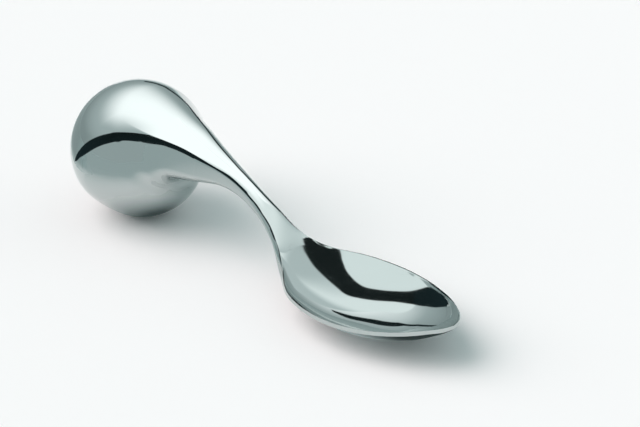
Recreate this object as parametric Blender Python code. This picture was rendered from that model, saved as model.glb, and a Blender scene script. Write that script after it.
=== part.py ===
# Ball-ended tablespoon: a forged bowl with a tang, held in a hollow handle of two pressed shells.
# Metres, +Z up, resting on the plane Z = 0. +X runs from the ball end to the tip of the bowl.
import bpy
import bmesh
from collections import namedtuple
from math import acos, atan2, copysign, cos, pi, radians, sin, sqrt, tan
from mathutils import Vector

MM = 0.001

# Handle: a hollow ball that draws out into the neck
BALL_DIAMETER = 50.0 * MM
SHELL_WALL = 1.2 * MM
REST_FLAT_DIAMETER = 8.0 * MM
AXIS_TILT = radians(29.0)
SEAM_RISE = radians(11.0)
SEAM_EASE_START = 0.24
SEAM_EASE = 0.52
FLANK_FLATTEN = 0.035
BALL_SHARE = 0.648

# Neck, at its slimmest
NECK_WIDTH = 6.4 * MM
NECK_THICKNESS = 3.3 * MM

# Bowl, with the heights of its heel and tip above the lowest point of the rim
BOWL_WIDTH = 43.2 * MM
BOWL_LENGTH = 76.0 * MM
BOWL_DEPTH = 9.1 * MM
RIM_THICKNESS = 1.4 * MM
HEEL_LIFT = 8.2 * MM
TIP_LIFT = 4.5 * MM
BALL_TO_TIP = 151.7 * MM

# Joint between the tang and the handle
TANG_LENGTH = 26.0 * MM
TANG_WIDTH = 4.6 * MM
TANG_HEIGHT = 4.0 * MM
TANG_NOSE_LENGTH = 2.6 * MM
TANG_NOSE = 0.75
CEMENT_LENGTH = 13.0 * MM
BRAZE_THICKNESS = 0.9 * MM
SEAM_BRAZE_WIDTH = 2.6 * MM
SEAM_BRAZE_SWEEP = radians(105.0)
CLEARANCE = 0.3 * MM

# Facets
TOP_STEPS = 7
SIDE_STEPS = 2
BASE_STEPS = 7
BALL_RINGS = 12
STATION_STEPS = 3
SEAM_STEPS = 36
CEMENT_STEPS = 5

# Derived sizes
BALL_RADIUS = BALL_DIAMETER / 2
BALL_HEIGHT = sqrt(BALL_RADIUS ** 2 - (REST_FLAT_DIAMETER / 2) ** 2)
BALL_X = (BALL_RADIUS - BALL_TO_TIP) / 2
RIM_HEIGHT = BOWL_DEPTH + RIM_THICKNESS
HEEL_X = BALL_X + BALL_TO_TIP - BOWL_LENGTH
CUTTER_REACH = 3 * BALL_DIAMETER

# One cross-section of the spoon. x and z place its seam edge on the mid plane, half_width is the
# half distance between its two edges, drop is its depth below them, and lean tips its plane back.
# belly is the half-width of its widest level, at belly_level of the drop. base_angle and top_angle
# say how far round an ellipse the base and the top run, squareness boxes the base in, flatten pulls
# its flanks in, and crown is the rise of the top above the edges, or below zero its sag.
FIELDS = 'x z half_width drop lean belly belly_level squareness flatten base_angle crown top_angle'
Section = namedtuple('Section', FIELDS)


def seam_level(along):
    # Height of the seam above the ball's axis: a straight rise that eases off towards the neck
    eased = max(0.0, along - SEAM_EASE_START * BALL_RADIUS)
    return tan(SEAM_RISE) * (along + BALL_RADIUS) - SEAM_EASE * eased ** 2 / BALL_RADIUS


def ball_section(along):
    # Slice of the ball square to its tilted axis, along the axis from its centre
    radius = sqrt(max(BALL_RADIUS ** 2 - along ** 2, 0.0))
    level = seam_level(along)
    return Section(
        x=BALL_X + along * cos(AXIS_TILT) - level * sin(AXIS_TILT),
        z=BALL_HEIGHT + along * sin(AXIS_TILT) + level * cos(AXIS_TILT),
        half_width=sqrt(radius ** 2 - level ** 2),
        drop=radius + level,
        lean=AXIS_TILT,
        belly=radius,
        belly_level=radius / (radius + level),
        squareness=2.0,
        flatten=FLANK_FLATTEN,
        base_angle=pi / 2,
        crown=radius - level,
        top_angle=acos(level / radius),
    )


def flare_section(x, z, half_width, drop, lean, belly, belly_level, squareness, crown, top_angle):
    # Slice of the flare between ball and neck, with its sizes as shares of the ball's radius
    return Section(
        x=BALL_X + x * BALL_RADIUS,
        z=BALL_HEIGHT + z * BALL_RADIUS,
        half_width=half_width * BALL_RADIUS,
        drop=drop * BALL_RADIUS,
        lean=radians(lean),
        belly=belly * half_width * BALL_RADIUS,
        belly_level=belly_level,
        squareness=squareness,
        flatten=0.0,
        base_angle=pi / 2,
        crown=crown * BALL_RADIUS,
        top_angle=radians(top_angle),
    )


def neck_section(run, fall, half_width, drop, lean, belly, belly_level, base_angle, crown, top_angle):
    # Slice of the neck, placed by shares of its run and fall from the flare to the heel of the bowl
    width = half_width * NECK_WIDTH / 2
    return Section(
        x=THROAT.x + run * (HEEL_X - THROAT.x),
        z=THROAT.z + fall * (RIM_HEIGHT + HEEL_LIFT - THROAT.z),
        half_width=width,
        drop=drop * NECK_THICKNESS,
        lean=radians(lean),
        belly=belly * width,
        belly_level=belly_level,
        squareness=2.3,
        flatten=0.0,
        base_angle=radians(base_angle),
        crown=crown * NECK_THICKNESS,
        top_angle=radians(top_angle),
    )


def bowl_section(run, half_width, depth, wall, belly, lift, lean):
    # Slice of the bowl: a dished wall of even height with an upright rim edge, thicker at the heel
    sag = depth * BOWL_DEPTH
    height = wall * RIM_THICKNESS
    width = half_width * BOWL_WIDTH / 2
    return Section(
        x=HEEL_X + run * BOWL_LENGTH,
        z=RIM_HEIGHT + lift,
        half_width=width,
        drop=sag + height,
        lean=radians(lean),
        belly=belly * width,
        belly_level=sag / (sag + height),
        squareness=2.0,
        flatten=0.0,
        base_angle=radians(65),
        crown=-sag,
        top_angle=radians(65),
    )


# Slices of the ball from its back pole, evenly spaced in angle, up to where the flare takes over
BALL_END = acos(BALL_SHARE)
BALL_ANGLES = [pi - (pi - BALL_END) * step / BALL_RINGS for step in range(1, BALL_RINGS + 1)]
BALL = [ball_section(BALL_RADIUS * cos(angle)) for angle in BALL_ANGLES]

# The flare keeps a tall upright side and a domed top, and folds in underneath, where it meets the ball
FLARE = [
    flare_section(0.70, 0.536, 0.580, 0.79, 20, 1.04, 0.62, 2.1, 0.392, 69),
    flare_section(0.97, 0.524, 0.452, 0.60, 6, 1.04, 0.52, 2.4, 0.290, 67),
    flare_section(1.26, 0.496, 0.348, 0.52, -3, 1.03, 0.46, 2.5, 0.225, 66),
]
THROAT = flare_section(1.556, 0.436, 0.260, 0.415, -8, 1.02, 0.42, 2.5, 0.168, 66)
NECK = [
    neck_section(0.22, 0.112, 1.42, 2.21, -15, 1.02, 0.42, 90, 0.88, 66),
    neck_section(0.44, 0.277, 1.07, 1.52, -24, 1.03, 0.42, 90, 0.66, 66),
    neck_section(0.63, 0.480, 1.02, 1.10, -28, 1.05, 0.42, 90, 0.56, 66),
    neck_section(0.82, 0.718, 1.22, 0.98, -31, 1.08, 0.40, 85, 0.38, 66),
    neck_section(1.00, 1.000, 1.62, 1.00, -32, 1.12, 0.38, 78, 0.12, 66),
]
BOWL = [
    bowl_section(0.070, 0.367, 0.06, 1.9, 1.09, 0.59 * HEEL_LIFT, -24),
    bowl_section(0.145, 0.574, 0.28, 1.6, 1.04, 0.26 * HEEL_LIFT, -10),
    bowl_section(0.241, 0.830, 0.62, 1.1, 1.00, 0.07 * HEEL_LIFT, 0),
    bowl_section(0.355, 0.958, 0.90, 1.0, 1.00, 0.01 * HEEL_LIFT, 0),
    bowl_section(0.460, 1.000, 1.00, 1.0, 1.00, 0.00 * TIP_LIFT, 0),
    bowl_section(0.557, 0.984, 0.99, 1.0, 1.00, 0.03 * TIP_LIFT, 0),
    bowl_section(0.642, 0.925, 0.95, 1.0, 1.00, 0.11 * TIP_LIFT, 0),
    bowl_section(0.722, 0.833, 0.87, 1.0, 1.00, 0.23 * TIP_LIFT, 0),
    bowl_section(0.796, 0.717, 0.74, 1.0, 1.00, 0.40 * TIP_LIFT, 0),
    bowl_section(0.862, 0.577, 0.58, 1.0, 1.00, 0.58 * TIP_LIFT, 0),
    bowl_section(0.922, 0.420, 0.38, 1.0, 1.00, 0.79 * TIP_LIFT, 0),
    bowl_section(0.971, 0.250, 0.18, 1.0, 1.00, 0.94 * TIP_LIFT, 0),
    bowl_section(0.992, 0.130, 0.06, 1.0, 1.00, 0.985 * TIP_LIFT, 0),
    bowl_section(1.000, 0.016, 0.02, 1.0, 1.00, 1.00 * TIP_LIFT, 0),
]


def knots(sections):
    # Distance along the seam edge at each section
    places = [0.0]
    for before, after in zip(sections, sections[1:]):
        step = Vector((after.x - before.x, after.half_width - before.half_width, after.z - before.z))
        places.append(places[-1] + step.length)
    return places


def tangent(places, values, index):
    # Slope of the parabola through a value and its neighbours
    last = len(places) - 1
    if index in (0, last):
        other = 1 if index == 0 else last - 1
        return (values[other] - values[index]) / (places[other] - places[index])
    before = places[index] - places[index - 1]
    after = places[index + 1] - places[index]
    slope_before = (values[index] - values[index - 1]) / before
    slope_after = (values[index + 1] - values[index]) / after
    return (slope_before * after + slope_after * before) / (before + after)


def section_at(sections, places, place):
    # Section between two given ones, by a cubic through all of them
    index = max(i for i in range(len(places) - 1) if places[i] <= place or i == 0)
    span = places[index + 1] - places[index]
    t = (place - places[index]) / span
    fields = []
    for values in zip(*sections):
        rise_start = tangent(places, values, index) * span
        rise_end = tangent(places, values, index + 1) * span
        start_part = (1 + 2 * t) * (1 - t) ** 2 * values[index] + t * (1 - t) ** 2 * rise_start
        end_part = t ** 2 * (3 - 2 * t) * values[index + 1] + t ** 2 * (t - 1) * rise_end
        fields.append(start_part + end_part)
    return Section(*fields)


def place_in_plane(section, across, up):
    # Point of a section's plane: across the spoon, and up from the lowest point of the section
    rise = up - section.drop
    return Vector((section.x - rise * sin(section.lean), across, section.z + rise * cos(section.lean)))


def half_outline(section):
    # Outline from the middle of the top, over the edge, to the middle of the base
    points = []
    for step in range(TOP_STEPS):
        angle = section.top_angle * step / TOP_STEPS
        share = (cos(angle) - cos(section.top_angle)) / (1 - cos(section.top_angle))
        across = section.half_width * sin(angle) / sin(section.top_angle)
        points.append((across, section.drop + section.crown * share))
    belly_up = section.belly_level * section.drop
    edge_share = min(section.half_width / section.belly, 1.0)
    edge_angle = acos(edge_share)
    for step in range(SIDE_STEPS):
        share = 1 - step / SIDE_STEPS
        if edge_angle > 0.001:
            across = section.belly * cos(edge_angle * share)
            up = belly_up + (section.drop - belly_up) * sin(edge_angle * share) / sin(edge_angle)
        else:
            across = section.belly
            up = belly_up + (section.drop - belly_up) * share
        points.append((across, up))
    power = 2 / section.squareness
    for step in range(BASE_STEPS + 1):
        angle = section.base_angle * (1 - step / BASE_STEPS)
        pulled = 1 - section.flatten * sin(pi * step / BASE_STEPS) ** 2
        across = section.belly * (sin(angle) / sin(section.base_angle)) ** power
        low = (cos(angle) - cos(section.base_angle)) / (1 - cos(section.base_angle))
        points.append((across * pulled, belly_up * (1 - max(low, 0.0) ** power * pulled)))
    return points


def ring_points(section):
    # Closed outline of a section, starting at the middle of the top
    half = half_outline(section)
    mirrored = [(-across, up) for across, up in reversed(half[1:-1])]
    return [place_in_plane(section, across, up) for across, up in half + mirrored]


def add_ring(bm, points):
    return [bm.verts.new(point) for point in points]


def join_rings(bm, first, second):
    count = len(first)
    for i in range(count):
        j = (i + 1) % count
        bm.faces.new((first[i], first[j], second[j], second[i]))


def join_run(bm, outlines):
    # Skin over a run of outlines, open at both ends
    rings = [add_ring(bm, points) for points in outlines]
    for first, second in zip(rings, rings[1:]):
        join_rings(bm, first, second)
    return rings


def join_bar(bm, outlines):
    # Skin over a run of outlines, closed at both ends
    rings = join_run(bm, outlines)
    bm.faces.new(rings[0])
    bm.faces.new(rings[-1])


def join_loop(bm, outlines):
    # Skin over outlines that come round to the first one again
    rings = join_run(bm, outlines)
    join_rings(bm, rings[-1], rings[0])


def new_object(name, bm, material=None):
    # Object from a mesh, with its faces outwards and smooth between soft edges
    bmesh.ops.recalc_face_normals(bm, faces=bm.faces)
    mesh = bpy.data.meshes.new(name)
    bm.to_mesh(mesh)
    bm.free()
    mesh.shade_smooth()
    mesh.set_sharp_from_angle(angle=radians(35))
    made = bpy.data.objects.new(name, mesh)
    bpy.context.scene.collection.objects.link(made)
    if material:
        mesh.materials.append(material)
    return made


def new_material(name, colour, metallic, roughness):
    material = bpy.data.materials.new(name)
    material.use_nodes = True
    shader = material.node_tree.nodes['Principled BSDF']
    shader.inputs['Base Color'].default_value = (*colour, 1.0)
    shader.inputs['Metallic'].default_value = metallic
    shader.inputs['Roughness'].default_value = roughness
    return material


def cut(target, cutter):
    boolean = target.modifiers.new('cut_' + cutter.name, 'BOOLEAN')
    boolean.operation = 'DIFFERENCE'
    boolean.solver = 'EXACT'
    boolean.object = cutter


def as_cutter(made):
    made.data.shade_flat()
    made.hide_render = True
    made.display_type = 'WIRE'
    return made


# The whole run of sections, and where the shells stop short of the shoulder
SPOON = BALL + FLARE + [THROAT] + NECK + BOWL
PLACES = knots(SPOON)
THROAT_PLACE = PLACES[SPOON.index(THROAT)]
MOUTH_PLACE = THROAT_PLACE - BRAZE_THICKNESS - 2 * CLEARANCE


def run_of_places(first, last):
    # Evenly divided places between two stations, with the stations in between kept
    inner = [place for place in PLACES if first < place < last]
    stops = [first] + inner + [last]
    run = []
    for start, end in zip(stops, stops[1:]):
        run += [start + (end - start) * step / STATION_STEPS for step in range(STATION_STEPS)]
    return run + [last]


def rings_between(first, last):
    return [ring_points(section_at(SPOON, PLACES, place)) for place in run_of_places(first, last)]


def handle_rings():
    # Rings of the handle's outside from the back of the ball to the mouth
    ball_rings = [ring_points(section) for section in BALL[:-1]]
    return ball_rings + rings_between(PLACES[len(BALL) - 1], MOUTH_PLACE)


def handle_skin():
    # Outside of the handle, closed at the back pole and open at the mouth
    bm = bmesh.new()
    rings = join_run(bm, handle_rings())
    pole_at = (BALL_X - BALL_RADIUS * cos(AXIS_TILT), 0, BALL_HEIGHT - BALL_RADIUS * sin(AXIS_TILT))
    pole = bm.verts.new(pole_at)
    for i in range(len(rings[0])):
        bm.faces.new((pole, rings[0][(i + 1) % len(rings[0])], rings[0][i]))
    return bm


def seam_line():
    # Seam seen from the side: straight behind the ball, then along the edges to past the mouth
    ahead_of_ball = run_of_places(PLACES[len(BALL)], THROAT_PLACE)
    sections = BALL + [section_at(SPOON, PLACES, place) for place in ahead_of_ball]
    line = [Vector((section.x, 0, section.z)) for section in sections]
    behind = Vector((cos(AXIS_TILT + SEAM_RISE), 0, sin(AXIS_TILT + SEAM_RISE))) * BALL_RADIUS
    ahead = (line[-1] - line[-2]).normalized() * BALL_RADIUS
    return [line[0] - behind] + line + [line[-1] + ahead]


def half_space(name, side):
    # Block that fills everything on one side of the seam: side is 1 above it and -1 below
    line = seam_line()
    far = Vector((0, 0, side * CUTTER_REACH))
    edge = []
    for i, point in enumerate(line):
        along = line[min(i + 1, len(line) - 1)] - line[max(i - 1, 0)]
        normal = Vector((-along.z, 0, along.x)).normalized()
        edge.append(point - normal * side * CLEARANCE / 2)
    outline = edge + [edge[-1] + far, edge[0] + far]
    bm = bmesh.new()
    face = bm.faces.new([bm.verts.new(point - Vector((0, BALL_DIAMETER, 0))) for point in outline])
    swept = bmesh.ops.extrude_face_region(bm, geom=[face])
    moved = [item for item in swept['geom'] if isinstance(item, bmesh.types.BMVert)]
    bmesh.ops.translate(bm, verts=moved, vec=(0, 2 * BALL_DIAMETER, 0))
    return as_cutter(new_object(name, bm))


def table_block():
    # Everything below the table, which leaves the flat that the ball rests on
    bm = bmesh.new()
    bmesh.ops.create_cube(bm, size=2 * BALL_DIAMETER)
    bmesh.ops.translate(bm, verts=bm.verts, vec=(BALL_X, 0, -BALL_DIAMETER))
    return as_cutter(new_object('table_block', bm))


def make_shell(name, material, other_side):
    shell = new_object(name, handle_skin(), material)
    wall = shell.modifiers.new('wall', 'SOLIDIFY')
    wall.thickness = SHELL_WALL
    wall.offset = -1
    wall.use_even_offset = True
    cut(shell, other_side)
    return shell


# The tang is a bar, square to the throat, that runs back from the middle of the shoulder
TANG_AXIS = Vector((-cos(THROAT.lean), 0, -sin(THROAT.lean)))
TANG_UP = (THROAT.drop + THROAT.crown) / 2
TANG_ROOT = place_in_plane(THROAT, 0, TANG_UP)


def tang_ring(back, grown=0.0, narrowed=1.0):
    # Rounded bar section, its points turned to face those of the throat's outline
    lift = Vector((-sin(THROAT.lean), 0, cos(THROAT.lean)))
    points = []
    for point in ring_points(THROAT):
        away = point - TANG_ROOT
        angle = atan2(away.dot(lift), away.y)
        across = copysign(sqrt(abs(cos(angle))), cos(angle)) * (TANG_WIDTH / 2 * narrowed + grown)
        up = copysign(sqrt(abs(sin(angle))), sin(angle)) * (TANG_HEIGHT / 2 * narrowed + grown)
        points.append(TANG_ROOT + TANG_AXIS * back + Vector((0, across, 0)) + lift * up)
    return points


def make_bowl(material):
    # Tang, shoulder, neck and bowl as one forging
    outlines = [
        tang_ring(TANG_LENGTH, narrowed=TANG_NOSE),
        tang_ring(TANG_LENGTH - TANG_NOSE_LENGTH),
        tang_ring(0.0),
    ]
    bm = bmesh.new()
    join_bar(bm, outlines + rings_between(THROAT_PLACE, PLACES[-1]))
    return new_object('bowl', bm, material)


def make_throat_braze(material):
    # Ring of filler between the shoulder and the mouth of the shells
    near = CLEARANCE
    far = CLEARANCE + BRAZE_THICKNESS
    bm = bmesh.new()
    outlines = [
        ring_points(section_at(SPOON, PLACES, THROAT_PLACE - near)),
        ring_points(section_at(SPOON, PLACES, THROAT_PLACE - far)),
        tang_ring(far, grown=CLEARANCE),
        tang_ring(near, grown=CLEARANCE),
    ]
    join_loop(bm, outlines)
    return new_object('throat_braze', bm, material)


def make_tang_cement(material):
    # Plug that fills the throat of the hollow handle round the tang, with a spare ring at each end
    pitch = CEMENT_LENGTH / CEMENT_STEPS
    places = [MOUTH_PLACE - CLEARANCE + pitch * (1 - step) for step in range(CEMENT_STEPS + 3)]
    skin = bmesh.new()
    rings = join_run(skin, [ring_points(section_at(SPOON, PLACES, place)) for place in places])
    bmesh.ops.recalc_face_normals(skin, faces=skin.faces)
    skin.normal_update()
    inset = SHELL_WALL + CLEARANCE
    outer = []
    inner = []
    for ring in rings[1:-1]:
        points = [vert.co - vert.normal * inset * vert.calc_shell_factor() for vert in ring]
        centre = sum(points, Vector()) / len(points)
        outer.append(points)
        inner.append(tang_ring((centre - TANG_ROOT).dot(TANG_AXIS), grown=CLEARANCE))
    skin.free()
    bm = bmesh.new()
    join_loop(bm, outer + inner[::-1])
    return new_object('tang_cement', bm, material)


def make_seam_braze(material):
    # Band of filler behind the seam, round the back of the ball, bedded on the inside of the shells
    seam_tilt = AXIS_TILT + SEAM_RISE
    normal = Vector((-sin(seam_tilt), 0, cos(seam_tilt)))
    back = Vector((-cos(seam_tilt), 0, -sin(seam_tilt)))
    centre = Vector((BALL_X, 0, BALL_HEIGHT))
    offset = BALL_RADIUS * sin(SEAM_RISE)
    outside = BALL_RADIUS - SHELL_WALL - CLEARANCE
    inside = outside - BRAZE_THICKNESS
    low = offset - SEAM_BRAZE_WIDTH / 2
    high = offset + SEAM_BRAZE_WIDTH / 2
    corners = [(outside, low), (outside, high), (inside, high), (inside, low)]
    outlines = []
    for step in range(SEAM_STEPS + 1):
        angle = SEAM_BRAZE_SWEEP * (2 * step / SEAM_STEPS - 1)
        outwards = back * cos(angle) + Vector((0, sin(angle), 0))
        placed = [normal * level + outwards * sqrt(ball ** 2 - level ** 2) for ball, level in corners]
        outlines.append([centre + point for point in placed])
    bm = bmesh.new()
    join_bar(bm, outlines)
    return new_object('seam_braze', bm, material)


def main():
    for old in list(bpy.data.objects):
        bpy.data.objects.remove(old, do_unlink=True)
    forged_steel = new_material('forged_steel', (0.78, 0.81, 0.81), 1.0, 0.07)
    upper_steel = new_material('upper_shell_steel', (0.80, 0.83, 0.83), 1.0, 0.06)
    lower_steel = new_material('lower_shell_steel', (0.76, 0.79, 0.79), 1.0, 0.07)
    seam_filler = new_material('seam_filler', (0.83, 0.77, 0.62), 1.0, 0.32)
    throat_filler = new_material('throat_filler', (0.80, 0.78, 0.70), 1.0, 0.22)
    cement = new_material('cement', (0.36, 0.34, 0.31), 0.0, 0.85)

    above = half_space('above_seam', 1)
    below = half_space('below_seam', -1)
    table = table_block()
    make_shell('handle_upper_shell', upper_steel, below)
    lower = make_shell('handle_lower_shell', lower_steel, above)
    cut(lower, table)
    make_bowl(forged_steel)
    make_throat_braze(throat_filler)
    make_tang_cement(cement)
    make_seam_braze(seam_filler)


main()
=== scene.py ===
import bpy
import numpy as np
from math import acos, cos, pi, radians, sin, sqrt, tan
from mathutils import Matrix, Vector


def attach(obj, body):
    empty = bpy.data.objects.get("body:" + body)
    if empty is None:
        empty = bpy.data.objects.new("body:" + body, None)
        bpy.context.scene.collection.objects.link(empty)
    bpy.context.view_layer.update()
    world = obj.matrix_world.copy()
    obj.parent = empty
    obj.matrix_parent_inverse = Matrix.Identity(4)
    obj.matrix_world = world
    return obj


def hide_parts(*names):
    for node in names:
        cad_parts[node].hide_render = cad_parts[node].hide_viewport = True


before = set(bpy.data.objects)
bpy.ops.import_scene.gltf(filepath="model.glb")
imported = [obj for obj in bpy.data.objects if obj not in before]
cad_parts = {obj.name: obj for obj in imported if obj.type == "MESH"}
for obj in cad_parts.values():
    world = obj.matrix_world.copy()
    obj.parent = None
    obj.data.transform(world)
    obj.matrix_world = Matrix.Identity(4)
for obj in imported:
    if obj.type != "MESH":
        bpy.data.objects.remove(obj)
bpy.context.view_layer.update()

# sizes in mm, as the forging and the shells are cut; meshes are made in metres
ballForm = {"radius": 25.0, "restFlat": 8.0, "axisTilt": 29.0, "seamRise": 11.0, "easeStart": 0.24,
            "ease": 0.52, "flatten": 0.035, "wall": 1.0,
            "knots": (-0.3, -0.1, 0.08, 0.24, 0.36, 0.46, 0.56, 0.648), "trueTo": 0.36}

# x, z, half width, drop as shares of the ball's radius; lean; belly; belly level; squareness; crown; top angle
flareForm = [
    (0.70, 0.536, 0.580, 0.790, 20, 1.04, 0.62, 2.1, 0.392, 69),
    (0.97, 0.524, 0.452, 0.600, 6, 1.04, 0.52, 2.4, 0.290, 67),
    (1.26, 0.496, 0.348, 0.520, -3, 1.03, 0.46, 2.5, 0.225, 66),
    (1.556, 0.436, 0.260, 0.415, -8, 1.02, 0.42, 2.5, 0.168, 66),
]

# run and fall from throat to heel; width; thickness; lean; belly; belly level; base angle; crown; top angle
neckForm = {"width": 6.4, "thickness": 3.3, "squareness": 2.3, "rows": [
    (0.22, 0.112, 1.42, 2.21, -15, 1.02, 0.42, 90, 0.88, 68),
    (0.44, 0.277, 1.07, 1.52, -24, 1.03, 0.42, 90, 0.66, 71),
    (0.63, 0.480, 1.02, 1.10, -28, 1.05, 0.42, 90, 0.56, 77),
    (0.82, 0.718, 1.22, 0.98, -31, 1.08, 0.40, 85, 0.38, 82),
    (1.00, 1.000, 1.62, 1.00, -32, 1.12, 0.38, 78, 0.12, 84),
]}

# run; width; depth; wall; belly; share of heel lift; share of tip lift; lean
bowlForm = {"width": 43.2, "length": 76.0, "depth": 9.1, "rim": 1.4, "heelLift": 8.2, "tipLift": 4.5,
            "ballToTip": 151.7, "sweep": 65.0, "squareness": 2, "tuck": 0.25, "tuckFrom": 0.3, "tuckFade": 0.25,
            "rimLand": 0.4, "landFrom": 4, "landFade": 10, "rimRound": 0.18, "rimSegments": 3, "sharp": 34, "rows": [
    (0.070, 0.367, 0.06, 1.9, 1.09, 0.59, 0, -24),
    (0.145, 0.574, 0.28, 1.6, 1.04, 0.26, 0, -10),
    (0.241, 0.830, 0.62, 1.1, 1.00, 0.07, 0, 0),
    (0.355, 0.958, 0.90, 1.0, 1.00, 0.01, 0, 0),
    (0.460, 1.000, 1.00, 1.0, 1.00, 0, 0, 0),
    (0.557, 0.984, 0.99, 1.0, 1.00, 0, 0.03, 0),
    (0.642, 0.925, 0.95, 1.0, 1.00, 0, 0.11, 0),
    (0.722, 0.833, 0.87, 1.0, 1.00, 0, 0.23, 0),
    (0.796, 0.717, 0.74, 1.0, 1.00, 0, 0.40, 0),
    (0.862, 0.577, 0.58, 1.0, 1.00, 0, 0.58, 0),
    (0.922, 0.420, 0.38, 1.0, 1.00, 0, 0.79, 0),
    (0.971, 0.250, 0.18, 1.0, 1.00, 0, 0.94, 0),
    (0.992, 0.130, 0.06, 1.0, 1.00, 0, 0.985, 0),
    (1.000, 0.016, 0.02, 1.0, 1.00, 0, 1.00, 0),
]}

radius = ballForm["radius"]
ballX = (radius - bowlForm["ballToTip"]) / 2
ballZ = sqrt(radius ** 2 - (ballForm["restFlat"] / 2) ** 2)
heelX = ballX + bowlForm["ballToTip"] - bowlForm["length"]
rimZ = bowlForm["depth"] + bowlForm["rim"]
heelZ = rimZ + bowlForm["heelLift"]

# what one section across the spoon holds, in this order
sectionParts = ("x", "z", "halfWidth", "drop", "lean", "belly", "bellyLevel", "squareness", "flatten",
                "baseAngle", "crown", "topAngle")


def column(sections, name):
    at = sectionParts.index(name)
    return sections[:, at:at + 1]


def ballSection(along):
    eased = max(0.0, along - ballForm["easeStart"] * radius)
    level = tan(radians(ballForm["seamRise"])) * (along + radius) - ballForm["ease"] * eased ** 2 / radius
    ring = sqrt(max(radius ** 2 - along ** 2, 1e-12))
    tilt = radians(ballForm["axisTilt"])
    level = min(level, ring)
    return [ballX + along * cos(tilt) - level * sin(tilt), ballZ + along * sin(tilt) + level * cos(tilt),
            sqrt(max(ring ** 2 - level ** 2, 0)), ring + level, tilt, ring, ring / (ring + level), 2,
            ballForm["flatten"], pi / 2, ring - level, acos(level / ring)]


def flareSection(row):
    x, z, wide, drop, lean, belly, level, square, crown, top = row
    return [ballX + x * radius, ballZ + z * radius, wide * radius, drop * radius, radians(lean),
            belly * wide * radius, level, square, 0, pi / 2, crown * radius, radians(top)]


def neckSection(row):
    run, fall, wide, thick, lean, belly, level, base, crown, top = row
    throatX, throatZ = flareSection(flareForm[-1])[:2]
    half = wide * neckForm["width"] / 2
    return [throatX + run * (heelX - throatX), throatZ + fall * (heelZ - throatZ), half,
            thick * neckForm["thickness"], radians(lean), belly * half, level, neckForm["squareness"], 0,
            radians(base), crown * neckForm["thickness"], radians(top)]


def bowlSection(row):
    run, wide, depth, wall, belly, heelShare, tipShare, lean = row
    half, sag = wide * bowlForm["width"] / 2, depth * bowlForm["depth"]
    drop = sag + wall * bowlForm["rim"]
    sweep = radians(bowlForm["sweep"])
    tucked = bowlForm["tuck"] * min(1, max(0, run - bowlForm["tuckFrom"]) / bowlForm["tuckFade"])
    return [heelX + run * bowlForm["length"],
            rimZ + heelShare * bowlForm["heelLift"] + tipShare * bowlForm["tipLift"], half, drop,
            radians(lean), belly * half, sag / drop, bowlForm["squareness"] - tucked, 0, sweep, -sag, sweep]


def smoothThrough(places, values):
    # natural cubic through the sections, so that the polish shows no ripple
    gaps = np.diff(places)
    count = len(places)
    left = np.eye(count)
    right = np.zeros_like(values)
    for i in range(1, count - 1):
        left[i, i - 1:i + 2] = gaps[i - 1], 2 * (gaps[i - 1] + gaps[i]), gaps[i]
        right[i] = 6 * ((values[i + 1] - values[i]) / gaps[i] - (values[i] - values[i - 1]) / gaps[i - 1])
    bend = np.linalg.solve(left, right)

    def at(where):
        where = np.asarray(where)
        i = np.clip(np.searchsorted(places, where) - 1, 0, count - 2)
        a = ((places[i + 1] - where) / gaps[i])[:, None]
        b = 1 - a
        return (a * values[i] + b * values[i + 1]
                + ((a ** 3 - a) * bend[i] + (b ** 3 - b) * bend[i + 1]) * (gaps[i] ** 2)[:, None] / 6)
    return at


ballKnots = [ballSection(share * radius) for share in ballForm["knots"]]
knots = np.array(ballKnots + [flareSection(row) for row in flareForm]
                 + [neckSection(row) for row in neckForm["rows"]]
                 + [bowlSection(row) for row in bowlForm["rows"]])
edgeLine = np.concatenate([column(knots, name) for name in ("x", "halfWidth", "z")], 1)
knotPlaces = np.concatenate([[0], np.cumsum(np.linalg.norm(np.diff(edgeLine, axis=0), axis=1))])
sectionAt = smoothThrough(knotPlaces, knots)
trueEnd = knotPlaces[ballForm["knots"].index(ballForm["trueTo"])]
throatPlace = knotPlaces[len(ballKnots) + len(flareForm) - 1]
heelPlace = knotPlaces[len(ballKnots) + len(flareForm) + len(neckForm["rows"]) - 1]
tipPlace = knotPlaces[-1]

# joint of the forging and the handle: tang, and the filler between its shoulder and the shells
jointForm = {"fill": 1.5, "clearance": 0.3, "tangLength": 26.0, "tangWidth": 4.6, "tangHeight": 4.0,
             "noseLength": 2.6, "nose": 0.75, "shoulder": 3}
mouthPlace = throatPlace - jointForm["fill"]


def topPoints(s, shares):
    # over the top, from the middle (0) to the edge (1)
    top = column(s, "topAngle")
    angle = top * shares
    across = column(s, "halfWidth") * np.sin(angle) / np.sin(top)
    up = column(s, "drop") + column(s, "crown") * (np.cos(angle) - np.cos(top)) / (1 - np.cos(top))
    return across, up


def sidePoints(s, shares):
    # from the edge (0) down to the belly (1)
    belly, drop = column(s, "belly"), column(s, "drop")
    bellyUp = column(s, "bellyLevel") * drop
    edge = np.arccos(np.minimum(column(s, "halfWidth") / belly, 1.0))
    turn = np.maximum(edge, 1e-4)
    across = belly * np.cos(edge * (1 - shares))
    up = bellyUp + (drop - bellyUp) * np.sin(turn * (1 - shares)) / np.sin(turn)
    return across, up


def basePoints(s, shares):
    # from the belly (0) to the middle underneath (1)
    base = column(s, "baseAngle")
    power = 2 / column(s, "squareness")
    angle = base * (1 - shares)
    pulled = 1 - column(s, "flatten") * np.sin(pi * shares) ** 4
    across = column(s, "belly") * (np.sin(angle) / np.sin(base)) ** power * pulled
    low = np.clip((np.cos(angle) - np.cos(base)) / (1 - np.cos(base)), 0, 1)
    up = column(s, "bellyLevel") * column(s, "drop") * (1 - low ** power * pulled)
    return across, up


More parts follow.
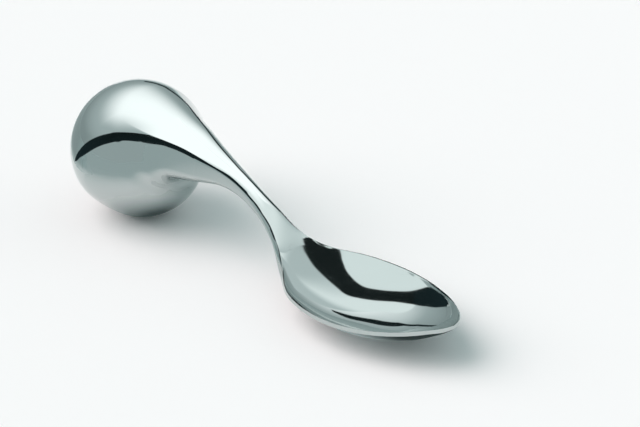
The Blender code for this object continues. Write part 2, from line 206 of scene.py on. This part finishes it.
def inPlace(s, across, up):
    # from a section's own plane to the scene, in metres
    rise, lean = up - column(s, "drop"), column(s, "lean")
    return np.stack([column(s, "x") - rise * np.sin(lean), across,
                     np.maximum(column(s, "z") + rise * np.cos(lean), 0)], -1) * 0.001


def joined(parts):
    return np.concatenate([p[0] for p in parts], 1), np.concatenate([p[1] for p in parts], 1)


def fullRing(across, up):
    # half outline, then its mirror image back to the start
    return (np.concatenate([across, -across[:, -2::-1]], 1), np.concatenate([up, up[:, -2::-1]], 1))


meshForm = {"mergeGap": 0.000004, "smoothAngle": 32}


def sheetFrom(name, points):
    # a plain grid, its vertices set out on the sections
    rows, columns = points.shape[:2]
    bpy.ops.object.select_all(action="DESELECT")
    bpy.ops.mesh.primitive_grid_add(x_subdivisions=columns - 1, y_subdivisions=rows - 1, size=1)
    sheet = bpy.context.object
    sheet.name = name
    sheet.data.name = name
    sheet.data.vertices.foreach_set("co", points.reshape(-1).astype(np.float32))
    sheet.data.update()
    bpy.ops.object.mode_set(mode="EDIT")
    bpy.ops.mesh.select_all(action="SELECT")
    bpy.ops.mesh.remove_doubles(threshold=meshForm["mergeGap"])
    bpy.ops.mesh.normals_make_consistent(inside=False)
    bpy.ops.object.mode_set(mode="OBJECT")
    return sheet


def closeEnds(piece):
    bpy.ops.object.mode_set(mode="EDIT")
    bpy.ops.mesh.select_all(action="DESELECT")
    bpy.ops.mesh.select_mode(type="EDGE")
    bpy.ops.mesh.select_non_manifold()
    bpy.ops.mesh.edge_face_add()
    bpy.ops.mesh.select_all(action="SELECT")
    bpy.ops.mesh.normals_make_consistent(inside=False)
    bpy.ops.object.mode_set(mode="OBJECT")


def giveWall(piece, thickness):
    wall = piece.modifiers.new("wall", "SOLIDIFY")
    wall.thickness = thickness * 0.001
    wall.offset = -1
    bpy.ops.object.modifier_apply(modifier="wall")


def smoothed(piece):
    bpy.ops.object.select_all(action="DESELECT")
    piece.select_set(True)
    bpy.context.view_layer.objects.active = piece
    bpy.ops.object.shade_smooth_by_angle(angle=radians(meshForm["smoothAngle"]))


# shells of the handle
shellForm = {"ballRings": 130, "flareRings": 110, "across": 56, "side": 8, "base": 52}
ballTurn = np.linspace(pi, acos(ballForm["trueTo"]), shellForm["ballRings"])
ballRings = np.array([ballSection(radius * cos(turn)) for turn in ballTurn])
flareRings = sectionAt(np.linspace(trueEnd, mouthPlace, shellForm["flareRings"])[1:])
shellRings = np.concatenate([ballRings, flareRings])

across, up = topPoints(shellRings, np.linspace(0, 1, shellForm["across"] + 1))
hoodPoints = inPlace(shellRings, np.concatenate([across[:, :0:-1], -across], 1),
                     np.concatenate([up[:, :0:-1], up], 1))
ballHood = sheetFrom("ballHood", hoodPoints)
giveWall(ballHood, ballForm["wall"])
smoothed(ballHood)
print("ball hood", len(ballHood.data.polygons))

across, up = joined([sidePoints(shellRings, np.linspace(0, 1, shellForm["side"], endpoint=False)),
                     basePoints(shellRings, np.linspace(0, 1, shellForm["base"] + 1))])
across, up = fullRing(across, up)
ballCap = sheetFrom("ballCap", inPlace(shellRings, across, up))
giveWall(ballCap, ballForm["wall"])
smoothed(ballCap)
print("ball cap", len(ballCap.data.polygons))

# bowl and neck
bowlMesh = {"neckRings": 90, "bowlRings": 200, "top": 44, "side": 8, "base": 34}
bowlPlaces = np.concatenate([np.linspace(throatPlace, heelPlace, bowlMesh["neckRings"], endpoint=False),
                             np.linspace(heelPlace, tipPlace, bowlMesh["bowlRings"])])
bowlRings = sectionAt(bowlPlaces)
throat = sectionAt([throatPlace])
throatX, throatLean, throatDrop, throatCrown = [column(throat, name).item()
                                                for name in ("x", "lean", "drop", "crown")]


def outlines(rings, land=0.0):
    # whole outline of each section, with a narrow land along the top of the rim
    across, up = topPoints(rings, np.linspace(0, 1, bowlMesh["top"] + 1))
    across = across * (1 - np.minimum(land / column(rings, "halfWidth"), 0.5))
    return fullRing(*joined([(across, up), sidePoints(rings, np.linspace(0, 1, bowlMesh["side"], endpoint=False)),
                             basePoints(rings, np.linspace(0, 1, bowlMesh["base"] + 1))]))


def tangOutline(back, grown=0.0, narrowed=1.0):
    # rounded bar, its points turned to face those of the throat
    across, up = outlines(throat)
    middle = (throatDrop + throatCrown) / 2
    turn = np.arctan2(up - middle, across)
    bar = [np.sign(part) * np.sqrt(np.abs(part)) * (jointForm[size] / 2 * narrowed + grown)
           for part, size in ((np.cos(turn), "tangWidth"), (np.sin(turn), "tangHeight"))]
    backWay = np.array((cos(throatLean), 0, sin(throatLean)))
    return inPlace(throat, bar[0], middle + bar[1]) - back * 0.001 * backWay


landStart = np.clip((bowlPlaces - heelPlace - bowlForm["landFrom"]) / bowlForm["landFade"], 0, 1)[:, None]
bowlPoints = np.concatenate([tangOutline(jointForm["tangLength"], narrowed=jointForm["nose"]),
                             tangOutline(jointForm["tangLength"] - jointForm["noseLength"]), tangOutline(0),
                             inPlace(bowlRings, *outlines(bowlRings, bowlForm["rimLand"] * landStart))])
spoonBowl = sheetFrom("spoonBowl", bowlPoints)
closeEnds(spoonBowl)
bpy.ops.object.mode_set(mode="EDIT")
bpy.ops.mesh.select_all(action="DESELECT")
bpy.ops.mesh.edges_select_sharp(sharpness=radians(bowlForm["sharp"]))
bpy.ops.object.mode_set(mode="OBJECT")
rounded = spoonBowl.data.attributes.new("bevel_weight_edge", "FLOAT", "EDGE")
shoulderEnd = (throatX + jointForm["shoulder"]) * 0.001
for edge in spoonBowl.data.edges:
    ends = [spoonBowl.data.vertices[i].co.x for i in edge.vertices]
    rounded.data[edge.index].value = float(edge.select and min(ends) > shoulderEnd)
edges = spoonBowl.modifiers.new("edges", "BEVEL")
edges.width = bowlForm["rimRound"] * 0.001
edges.segments = bowlForm["rimSegments"]
edges.limit_method = "WEIGHT"
bpy.ops.object.modifier_apply(modifier="edges")
smoothed(spoonBowl)
print("bowl", len(spoonBowl.data.polygons))

# filler between the shoulder and the mouth of the shells, polished flush
mouthRings = sectionAt([throatPlace, mouthPlace])
skin = inPlace(mouthRings, *outlines(mouthRings))
core = [tangOutline(back, grown=jointForm["clearance"]) for back in (jointForm["fill"], 0)]
throatFill = sheetFrom("throatFill", np.concatenate([skin, *core, skin[:1]]))
smoothed(throatFill)
print("throat fill", len(throatFill.data.polygons))

# finishes
polishLook = {"tint": (0.510, 0.560, 0.555), "tintDeep": (0.495, 0.545, 0.540), "cloudScale": 60, "cloudDetail": 3,
              "roughLow": 0.035, "roughHigh": 0.065, "hazeScale": 420, "hazeDetail": 4}


def polishedSteel(name):
    made = bpy.data.materials.new(name)
    made.use_nodes = True
    nodes, links = made.node_tree.nodes, made.node_tree.links
    shader = nodes["Principled BSDF"]
    shader.inputs["Metallic"].default_value = 1
    place = nodes.new("ShaderNodeTexCoord")
    cloud = nodes.new("ShaderNodeTexNoise")
    cloud.inputs["Scale"].default_value = polishLook["cloudScale"]
    cloud.inputs["Detail"].default_value = polishLook["cloudDetail"]
    links.new(place.outputs["Object"], cloud.inputs["Vector"])
    tone = nodes.new("ShaderNodeMix")
    tone.data_type = "RGBA"
    tone.inputs["A"].default_value = (*polishLook["tintDeep"], 1)
    tone.inputs["B"].default_value = (*polishLook["tint"], 1)
    links.new(cloud.outputs["Fac"], tone.inputs["Factor"])
    links.new(tone.outputs["Result"], shader.inputs["Base Color"])
    haze = nodes.new("ShaderNodeTexNoise")
    haze.inputs["Scale"].default_value = polishLook["hazeScale"]
    haze.inputs["Detail"].default_value = polishLook["hazeDetail"]
    links.new(place.outputs["Object"], haze.inputs["Vector"])
    spread = nodes.new("ShaderNodeMapRange")
    spread.inputs["To Min"].default_value = polishLook["roughLow"]
    spread.inputs["To Max"].default_value = polishLook["roughHigh"]
    links.new(haze.outputs["Fac"], spread.inputs["Value"])
    links.new(spread.outputs["Result"], shader.inputs["Roughness"])
    return made


shellSteel = polishedSteel("shellSteel")
forgedSteel = polishedSteel("forgedSteel")
brazeSilver = polishedSteel("brazeSilver")
for piece, steel in ((ballHood, shellSteel), (ballCap, shellSteel),
                     (spoonBowl, forgedSteel), (throatFill, brazeSilver)):
    piece.data.materials.clear()
    piece.data.materials.append(steel)

# fillers inside the handle
fillerLook = {"seam_braze": {"deep": (0.62, 0.58, 0.46), "pale": (0.80, 0.77, 0.66), "metal": 1,
                             "rough": (0.30, 0.50), "grain": 900},
              "tang_cement": {"deep": (0.27, 0.25, 0.22), "pale": (0.36, 0.34, 0.31), "metal": 0,
                              "rough": (0.80, 0.95), "grain": 1500}}
for name, look in fillerLook.items():
    made = bpy.data.materials.new(name + "Fill")
    made.use_nodes = True
    nodes, links = made.node_tree.nodes, made.node_tree.links
    shader = nodes["Principled BSDF"]
    shader.inputs["Metallic"].default_value = look["metal"]
    grain = nodes.new("ShaderNodeTexNoise")
    grain.inputs["Scale"].default_value = look["grain"]
    links.new(nodes.new("ShaderNodeTexCoord").outputs["Object"], grain.inputs["Vector"])
    tone = nodes.new("ShaderNodeMix")
    tone.data_type = "RGBA"
    tone.inputs["A"].default_value = (*look["deep"], 1)
    tone.inputs["B"].default_value = (*look["pale"], 1)
    links.new(grain.outputs["Fac"], tone.inputs["Factor"])
    links.new(tone.outputs["Result"], shader.inputs["Base Color"])
    spread = nodes.new("ShaderNodeMapRange")
    spread.inputs["To Min"].default_value, spread.inputs["To Max"].default_value = look["rough"]
    links.new(grain.outputs["Fac"], spread.inputs["Value"])
    links.new(spread.outputs["Result"], shader.inputs["Roughness"])
    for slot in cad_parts[name].material_slots:
        slot.material = made
print("finishes")

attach(ballHood, "root")
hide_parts("handle_upper_shell")
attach(ballCap, "root")
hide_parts("handle_lower_shell")
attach(spoonBowl, "root")
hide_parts("bowl")
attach(throatFill, "root")
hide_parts("throat_braze")

# the camera looks across the table at 45 degrees, and floor, light and cards are set out by its view
diagonal = 0.7071
awayWay, rightWay = (-diagonal, diagonal, 0), (diagonal, diagonal, 0)


# node helpers, for whichever material or world is being made
def along(source, way):
    node = nodes.new("ShaderNodeVectorMath")
    node.operation = "DOT_PRODUCT"
    node.inputs[1].default_value = way
    links.new(source, node.inputs[0])
    return node.outputs["Value"]


def apartFrom(source, point):
    node = nodes.new("ShaderNodeVectorMath")
    node.operation = "DISTANCE"
    node.inputs[1].default_value = point
    links.new(source, node.inputs[0])
    return node.outputs["Value"]


def sums(kind, a, b=0.0):
    node = nodes.new("ShaderNodeMath")
    node.operation = kind
    for socket, value in zip(node.inputs, (a, b)):
        if isinstance(value, (int, float)):
            socket.default_value = value
        else:
            links.new(value, socket)
    return node.outputs["Value"]


def step(value, low, high, toLow=0.0, toHigh=1.0):
    node = nodes.new("ShaderNodeMapRange")
    node.interpolation_type = "SMOOTHSTEP"
    for key, number in (("From Min", low), ("From Max", high), ("To Min", toLow), ("To Max", toHigh)):
        node.inputs[key].default_value = number
    links.new(value, node.inputs["Value"])
    return node.outputs["Result"]


def between(share, a, b):
    node = nodes.new("ShaderNodeMix")
    node.data_type = "RGBA"
    links.new(share, node.inputs["Factor"])
    for socket, value in ((node.inputs["A"], a), (node.inputs["B"], b)):
        if isinstance(value, tuple):
            socket.default_value = (*value, 1)
        else:
            links.new(value, socket)
    return node.outputs["Result"]


# floor: pale sheet that greys off beyond a pool round the spoon, which widens towards the back; the pool is painted
# light and the grey beyond it is painted shade, where light would fall off
floorForm = {"radius": 4, "level": -0.0002, "roughness": 0.9, "middle": 0.020, "halfWidth": 0.118, "widening": 0.14,
             "sideFade": 0.15, "front": -0.105, "frontFade": 0.060, "back": 0.60, "backFade": 0.30,
             "pale": (0.985, 0.915, 0.915), "far": (0.50, 0.58, 0.58)}
bpy.ops.object.select_all(action="DESELECT")
bpy.ops.mesh.primitive_circle_add(vertices=96, radius=floorForm["radius"], fill_type="NGON",
                                  location=(0, 0, floorForm["level"]))
floor = bpy.context.object
floor.name = "floor"
bpy.ops.object.transform_apply(location=True)
paper = bpy.data.materials.new("paleTable")
paper.use_nodes = True
nodes, links = paper.node_tree.nodes, paper.node_tree.links
matt = nodes["Principled BSDF"]
matt.inputs["Roughness"].default_value = floorForm["roughness"]
matt.inputs["Specular IOR Level"].default_value = 0
place = nodes.new("ShaderNodeTexCoord").outputs["Object"]
depth = along(place, awayWay)
spread = sums("ADD", sums("MULTIPLY", depth, floorForm["widening"]), floorForm["halfWidth"])
aside = sums("DIVIDE", sums("ABSOLUTE", sums("SUBTRACT", along(place, rightWay), floorForm["middle"])), spread)
# share of painted shade, from the pale pool out to the grey
paintedFalloff = sums("MAXIMUM", step(aside, 1.0, 1.0 + floorForm["sideFade"]),
              sums("MAXIMUM", step(depth, floorForm["front"] - floorForm["frontFade"], floorForm["front"], 1, 0),
                   step(depth, floorForm["back"], floorForm["back"] + floorForm["backFade"])))
links.new(between(paintedFalloff, floorForm["pale"], floorForm["far"]), matt.inputs["Base Color"])
floor.data.materials.append(paper)
print("floor")


# studio: grey walls, a soft box overhead that leans aside and to the front, a greyer low front;
# matt surfaces are lit by one soft light from the left instead
def worldWay(awayPart, leftPart, upPart):
    return (-diagonal * awayPart - diagonal * leftPart, diagonal * awayPart - diagonal * leftPart, upPart)


studio = {"wallLow": (0.34, 0.41, 0.41), "wallHigh": (0.61, 0.70, 0.70), "wallRise": (-0.05, 0.6),
          "boxWhite": (1.85, 1.85, 1.85), "boxFade": (0.25, 0.92), "rightFrom": 0.62, "rightLean": 1.6,
          "leftLean": 0.30, "frontLean": 0.60,
          "lowEdge": worldWay(-0.5925, 0.0658, -0.8028), "lowFade": (-0.15, 0.05), "lowFront": (0.50, 0.58, 0.58),
          "softFrom": (-0.55, -0.45, 0.70), "softFade": (0.72, 1.0), "softLow": (0.27, 0.42, 0.42),
          "softHigh": (3.75, 3.65, 3.65)}
world = bpy.data.worlds.new("studio")
bpy.context.scene.world = world
world.use_nodes = True
nodes, links = world.node_tree.nodes, world.node_tree.links
sky = nodes["Background"]
look = nodes.new("ShaderNodeTexCoord").outputs["Generated"]
upLevel = along(look, (0, 0, 1))
rightLevel = along(look, rightWay)
awayLevel = along(look, awayWay)
walls = between(step(upLevel, *studio["wallRise"]), studio["wallLow"], studio["wallHigh"])
pastRight = sums("MAXIMUM", sums("SUBTRACT", rightLevel, studio["rightFrom"]), 0.0)
leans = sums("ADD", sums("MULTIPLY", pastRight, studio["rightLean"]),
             sums("ADD", sums("MULTIPLY", sums("MINIMUM", rightLevel, 0.0), studio["leftLean"]),
                  sums("MULTIPLY", sums("MINIMUM", awayLevel, 0.0), studio["frontLean"])))
light = between(step(sums("ADD", upLevel, leans), *studio["boxFade"]), walls, studio["boxWhite"])
light = between(step(along(look, studio["lowEdge"]), *studio["lowFade"]), light, studio["lowFront"])
rays = nodes.new("ShaderNodeLightPath")
soft = between(step(along(look, studio["softFrom"]), *studio["softFade"]), studio["softLow"], studio["softHigh"])
links.new(between(rays.outputs["Is Diffuse Ray"], light, soft), sky.inputs["Color"])
print("studio")


def onlyMirrored(card):
    # nothing but the polish shows a card
    card.visible_camera = False
    card.visible_diffuse = False
    card.visible_shadow = False
    card.visible_transmission = False


secondMirror = (1.2, 1.8)  # mirrored bounces over which a card turns pale

# painted reflection over the bowl: a glowing card that only the polish shows, light with a dark curved strip; its
# edges in mm
cardForm = {"height": 0.045, "from": (-0.060, -0.040), "size": (0.120, 0.135), "nearPanel": 0.034,
            "lowEdge": [(-39, -21), (2, -2), (18, 9), (24, 13), (29, 16), (33, 16), (37, 13.4), (46, 3.6),
                        (52, -3.4)],
            "highEdge": [(-36, 21), (5, 17), (14, 19), (19, 22), (24, 24.5), (28, 26.5), (31, 26), (35, 26),
                         (40, 26.8), (52, 27)],
            "nearEdge": [(-55, -15), (-37, -17), (-29, -19), (-25, -22), (-22, -27), (-18, -29), (-14, -35),
                         (-8, -32), (-4, -26.5), (1, -22.5), (6, -34), (60, -38)],
            "farEdge": [(-60, 3), (0, 3), (6, 8), (9, 30), (12, 94), (60, 94.5)],
            "white": (1.85, 1.85, 1.85), "heelLight": (1.30, 1.36, 1.35), "heelDeep": (0.76, 0.85, 0.85),
            "panel": (1.20, 1.28, 1.27), "strip": (0.012, 0.018, 0.018), "bright": (1.26, 1.33, 1.32),
            "dim": (0.75, 0.84, 0.84)}

# fades of the painted reflection over the card and over the length of the mirrored ray, which tells heel, hollow and
# rim apart
cardFade = {"dimRight": (0.024, 0.036), "dimLeft": (-0.025, 0.005), "dimFar": (0.036, 0.050),
            "leftEnd": (-0.058, -0.040), "strip": 0.0003, "cut": 0.0004, "panel": 0.0006,
            "heelSlope": 0.55, "heelStep": (0.0312, 0.0320), "heelReach": (0.0307, 0.0299),
            "heelEdge": (0.0308, 0.0318), "heelTail": (0.0338, 0.0348), "heelTailFrom": (0.0234, 0.0240),
            "heelGlow": (0.014, 0.021), "heelDeep": (0.026, 0.048),
            "endSlope": 0.42, "endReach": 0.02746, "endTurn": 0.029, "endRise": 0.5, "endStep": (0.0272, 0.0286),
            "endDrop": -0.0012, "endFrom": (0.0170, 0.0180), "endLeft": (0.0258, 0.0266),
            "rimSlope": 0.45, "rimReach": 0.01913, "rimLeft": (0.032, 0.033), "rimFrom": (0.004, 0.006)}
cardMiddle = [start + size / 2 for start, size in zip(cardForm["from"], cardForm["size"])]
bpy.ops.object.select_all(action="DESELECT")
bpy.ops.mesh.primitive_plane_add(size=1, location=(*cardMiddle, cardForm["height"]))
bowlCard = bpy.context.object
bowlCard.name = "bowlCard"
bowlCard.scale = (*cardForm["size"], 1)
bpy.ops.object.transform_apply(location=True, scale=True)
stripe = bpy.data.materials.new("stripedCard")
stripe.use_nodes = True
nodes, links = stripe.node_tree.nodes, stripe.node_tree.links
nodes.remove(nodes["Principled BSDF"])
place = nodes.new("ShaderNodeTexCoord")
split = nodes.new("ShaderNodeSeparateXYZ")
links.new(place.outputs["Object"], split.inputs["Vector"])
cardX, cardY = split.outputs["X"], split.outputs["Y"]


def edgeOver(points):
    # how far past an edge of the card, drawn as a curve over its length
    run = nodes.new("ShaderNodeMapRange")
    run.inputs["From Min"].default_value = cardForm["from"][0]
    run.inputs["From Max"].default_value = cardForm["from"][0] + cardForm["size"][0]
    links.new(cardX, run.inputs["Value"])
    drawn = nodes.new("ShaderNodeFloatCurve")
    curve = drawn.mapping.curves[0]
    share = [((x * 0.001 - cardForm["from"][0]) / cardForm["size"][0],
              (y * 0.001 - cardForm["from"][1]) / cardForm["size"][1]) for x, y in points]
    while len(curve.points) < len(share):
        curve.points.new(0.5, 0.5)
    for point, at in zip(curve.points, share):
        point.location = at
    drawn.mapping.update()
    links.new(run.outputs["Result"], drawn.inputs["Value"])
    return sums("SUBTRACT", cardY,
                sums("ADD", sums("MULTIPLY", drawn.outputs["Value"], cardForm["size"][1]), cardForm["from"][1]))


def past(value, soft):
    return step(value, -soft, soft)


def short(value, soft):
    return step(value, -soft, soft, 1, 0)


dims = sums("MAXIMUM", step(cardX, *cardFade["dimRight"]), step(cardX, *cardFade["dimLeft"], 1, 0))
dims = sums("MAXIMUM", dims, step(cardY, *cardFade["dimFar"]))
tone = between(dims, cardForm["bright"], cardForm["dim"])
tone = between(past(edgeOver(cardForm["highEdge"]), cardFade["strip"]), cardForm["strip"], tone)
tone = between(past(edgeOver(cardForm["lowEdge"]), cardFade["strip"]), cardForm["panel"], tone)
rays = nodes.new("ShaderNodeLightPath")
rayLength = rays.outputs["Ray Length"]

# the heel mirrors the card from nearer than the hollow
heelReach = sums("ADD", sums("MULTIPLY", cardY, cardFade["heelSlope"]),
                 step(cardX, *cardFade["heelStep"], *cardFade["heelReach"]))
heelPart = sums("MAXIMUM", step(cardX, *cardFade["heelEdge"], 1, 0),
                sums("MULTIPLY", step(cardX, *cardFade["heelTail"], 1, 0),
                     step(cardY, *cardFade["heelTailFrom"])))
nearest = sums("MAXIMUM", sums("MULTIPLY", heelPart, heelReach), cardForm["nearPanel"])
heelTone = between(step(rayLength, *cardFade["heelGlow"]), cardForm["white"], cardForm["heelLight"])
heelTone = between(step(rayLength, *cardFade["heelDeep"]), heelTone, cardForm["heelDeep"])

# the strip's end by the neck, and its end along the rim
pastTurn = sums("MAXIMUM", sums("SUBTRACT", cardX, cardFade["endTurn"]), 0.0)
endReach = sums("ADD", sums("ADD", sums("MULTIPLY", cardY, cardFade["endSlope"]), cardFade["endReach"]),
                sums("MULTIPLY", pastTurn, cardFade["endRise"]))
endReach = sums("ADD", endReach, step(cardX, *cardFade["endStep"], cardFade["endDrop"], 0))
heelEnd = sums("MULTIPLY", sums("MULTIPLY", step(cardY, *cardFade["endFrom"]), step(cardX, *cardFade["endLeft"])),
               short(sums("SUBTRACT", rayLength, endReach), cardFade["strip"]))
mirrored = sums("MAXIMUM", past(sums("SUBTRACT", rayLength, nearest), cardFade["panel"]), heelEnd)
rimReach = sums("ADD", sums("MULTIPLY", cardX, cardFade["rimSlope"]), cardFade["rimReach"])
rimEnd = sums("MULTIPLY", short(sums("SUBTRACT", rayLength, rimReach), cardFade["strip"]),
              sums("MULTIPLY", step(cardX, *cardFade["rimLeft"]), step(cardY, *cardFade["rimFrom"])))
tone = between(rimEnd, between(mirrored, heelTone, tone), cardForm["strip"])
tone = between(step(rays.outputs["Glossy Depth"], *secondMirror), tone, cardForm["dim"])
# the card glows though it is no lamp: it paints the bowl's reflection
shine = nodes.new("ShaderNodeEmission")
links.new(tone, shine.inputs["Color"])
clear = nodes.new("ShaderNodeBsdfTransparent")
blend = nodes.new("ShaderNodeMixShader")
shown = sums("MULTIPLY", past(edgeOver(cardForm["nearEdge"]), cardFade["cut"]), step(cardX, *cardFade["leftEnd"]))
shown = sums("MULTIPLY", shown, short(edgeOver(cardForm["farEdge"]), cardFade["cut"]))
links.new(shown, blend.inputs["Fac"])
links.new(clear.outputs["BSDF"], blend.inputs[1])
links.new(shine.outputs["Emission"], blend.inputs[2])
links.new(blend.outputs["Shader"], nodes["Material Output"].inputs["Surface"])
bowlCard.data.materials.append(stripe)
onlyMirrored(bowlCard)
print("bowl card")

# further cards, glowing sheets that only the polish shows and that paint its reflections: each in a plane, its corners
# in mm; a mirrored ray longer than reach or shorter than clear passes through, in metres
cards = {
    "left": {"right": -99, "reach": 0.130, "corners": [
        (64, 3.5), (52, 9.5), (31, 24.5), (-7, 59), (-39.5, 86), (-19.5, 105.5), (17, 58), (42.5, 24.5),
        (54, 12.5)]},
    "near": {"away": -5, "reach": 0.072, "corners": [
        (-12, 25.5), (-37, 31), (-43, 36), (-47, 43), (-59.5, 50), (-66, 57.5), (-84, 60), (-97, 87.5),
        (-75, 82.3), (-71, 80), (-63, 67), (-55, 61), (-47, 58), (-33, 50.5), (-18, 39.5), (-12, 36.5)]},
    "edge": {"away": -20, "reach": 0.060, "corners": [
        (-49, 32), (-22, 26), (-15, 24), (3, 37), (5, 46), (-15, 62), (-30, 62), (-49, 48)]},
    "far": {"y": 30, "reach": 0.060, "clear": 0.018, "corners": [
        (-92, 52), (-78, 51), (-71, 49), (-60, 40.5), (-54, 39.5), (-42, 45), (-20, 50), (-14, 44), (-1.5, 26),
        (7, 36), (-9.5, 58), (-17.5, 63), (-52, 44), (-60, 43), (-71, 51), (-77, 54.5), (-92, 56)]},
    "back": {"away": 100, "clear": 0.120, "corners": [
        (69, 80), (59, 80), (49, 78), (35, 77), (20, 78), (11.5, 50), (14.5, 14), (19.5, 14), (17, 43), (23, 62),
        (36, 58), (48, 58), (64, 71)]},
    "end": {"x": 10, "corners": [
        (4.5, 47), (0.4, 34.5), (-1, 26.5), (5, 19), (8.6, 16.5), (15.5, 13.8), (17.3, 18), (17.5, 28),
        (16.2, 36), (18, 47)]},
    "rim": {"y": 42, "reach": 0.043, "corners": [(-5, 3), (120, 3), (120, 38), (-5, 38)]},
    "underShadow": {"z": 0.3, "corners": [
        (50, -22), (60, -20), (72, -19), (82, -19), (92, -10), (95, 14), (60, 14), (48, -8)]},
    "footShadow": {"z": 0.4, "reach": 0.021, "corners": [
        (-79, -2), (-72, -20), (-54, -27), (-36, -20), (-29, -2), (-36, 16), (-54, 23), (-72, 16)]},
    "apron": {"z": 0.5, "corners": [(0, -2900), (1450, -1420), (-18, 46), (-1470, -1406)]},
    "grey": {"right": -100, "corners": [(20, 0), (260, 0), (260, 52), (20, 52)]},
}
cardTones = {"blackLow": (0.016, 0.030, 0.034), "black": (0.008, 0.014, 0.014), "greyFoot": (0.80, 0.88, 0.88),
             "grey": (0.37, 0.44, 0.44), "apron": (0.50, 0.59, 0.59), "apronEdge": (0.56, 0.64, 0.64),
             "footShadow": (0.06, 0.08, 0.08), "underShadow": (0.045, 0.06, 0.06), "underShadowPale": (0.36, 0.42, 0.42)}
cardFades = {"blackRise": (0.0, 0.1), "greyRise": (-0.004, 0.014), "greyStart": (0.02, 0.06),
             "greyTop": (0.032, 0.052), "apronTone": (0.03, 0.12), "apronHole": (0.030, 0.085),
             "apronBack": (0.020, 0.045), "apronRight": (-0.03, -0.005), "underRun": (0.056, 0.074),
             "footMiddle": (-0.054, -0.002, 0.0004), "footFade": (0.003, 0.024), "ray": 0.002}
paleCards = ("grey", "apron", "underShadow", "footShadow")


def placed(card, a, b):
    # from the card's own plane to the scene
    if "right" in card:
        return Vector((diagonal * (card["right"] - a), diagonal * (card["right"] + a), b)) * 0.001
    if "away" in card:
        return Vector((diagonal * (a - card["away"]), diagonal * (a + card["away"]), b)) * 0.001
    if "z" in card:
        return Vector((a, b, card["z"])) * 0.001
    if "y" in card:
        return Vector((a, card["y"], b)) * 0.001
    return Vector((card["x"], a, b)) * 0.001


for name, card in cards.items():
    bpy.ops.object.select_all(action="DESELECT")
    bpy.ops.mesh.primitive_circle_add(vertices=len(card["corners"]), radius=1, fill_type="NGON")
    sheet = bpy.context.object
    sheet.name = name + "Card"
    for vertex, corner in zip(sheet.data.vertices, card["corners"]):
        vertex.co = placed(card, *corner)
    sheet.data.update()
    paint = bpy.data.materials.new(sheet.name)
    paint.use_nodes = True
    nodes, links = paint.node_tree.nodes, paint.node_tree.links
    nodes.remove(nodes["Principled BSDF"])
    place = nodes.new("ShaderNodeTexCoord").outputs["Object"]
    rays = nodes.new("ShaderNodeLightPath")
    level = along(place, (0, 0, 1))
    hides = []
    if name == "grey":
        # painted reflection: a grey card for the ball's flank to mirror, paler low down
        tone = between(step(level, *cardFades["greyRise"]), cardTones["greyFoot"], cardTones["grey"])
        hides += [step(along(place, awayWay), *cardFades["greyStart"], 1, 0), step(level, *cardFades["greyTop"])]
    elif name == "apron":
        # painted shade in the reflection: the floor as the polish mirrors it, greyer than the floor the camera sees,
        # paler near the ball
        apart = apartFrom(place, (ballX * 0.001, 0, 0))
        tone = between(step(apart, *cardFades["apronTone"]), cardTones["apronEdge"], cardTones["apron"])
        hides += [step(apart, *cardFades["apronHole"], 1, 0), step(along(place, awayWay), *cardFades["apronBack"]),
                  step(along(place, rightWay), *cardFades["apronRight"])]
    elif name == "underShadow":
        # painted shadow under the bowl, seen only in the polish, paler towards the heel
        tone = between(step(along(place, (1, 0, 0)), *cardFades["underRun"]), cardTones["underShadowPale"],
                       cardTones["underShadow"])
    elif name == "footShadow":
        # painted contact shadow under the ball, seen only in the polish, fading out from its middle
        hides += [step(apartFrom(place, cardFades["footMiddle"]), *cardFades["footFade"])]
        tone = between(hides[0], cardTones["footShadow"], cardTones["apronEdge"])
    else:
        # black cards: painted dark reflections on the ball, neck and bowl
        tone = between(step(level, *cardFades["blackRise"]), cardTones["blackLow"], cardTones["black"])
    if name == "end":
        hides += [nodes.new("ShaderNodeNewGeometry").outputs["Backfacing"]]
    if name not in paleCards:
        tone = between(step(rays.outputs["Glossy Depth"], *secondMirror), tone, cardTones["apronEdge"])
    if "reach" in card:
        hides += [step(rays.outputs["Ray Length"], card["reach"] - cardFades["ray"], card["reach"] + cardFades["ray"])]
    if "clear" in card:
        hides += [step(rays.outputs["Ray Length"], card["clear"] - cardFades["ray"], card["clear"] + cardFades["ray"],
                       1, 0)]
    glow = nodes.new("ShaderNodeEmission")
    links.new(tone, glow.inputs["Color"])
    surface = glow.outputs["Emission"]
    if hides:
        hidden = hides[0]
        for other in hides[1:]:
            hidden = sums("MAXIMUM", hidden, other)
        mixed = nodes.new("ShaderNodeMixShader")
        links.new(hidden, mixed.inputs["Fac"])
        links.new(surface, mixed.inputs[1])
        links.new(nodes.new("ShaderNodeBsdfTransparent").outputs["BSDF"], mixed.inputs[2])
        surface = mixed.outputs["Shader"]
    links.new(surface, nodes["Material Output"].inputs["Surface"])
    sheet.data.materials.append(paint)
    onlyMirrored(sheet)
print("cards", len(cards))

cameraForm = {"place": (0.4408, -0.4123, 0.3425), "tilt": 62, "turn": 45, "lens": 112.5, "sensor": 36, "nearest": 0.01}
bpy.ops.object.camera_add(location=cameraForm["place"],
                          rotation=(radians(cameraForm["tilt"]), 0, radians(cameraForm["turn"])))
camera = bpy.context.object
camera.data.lens = cameraForm["lens"]
camera.data.sensor_width = cameraForm["sensor"]
camera.data.clip_start = cameraForm["nearest"]
bpy.context.scene.camera = camera
bpy.context.scene.view_settings.view_transform = "Standard"
print("camera")
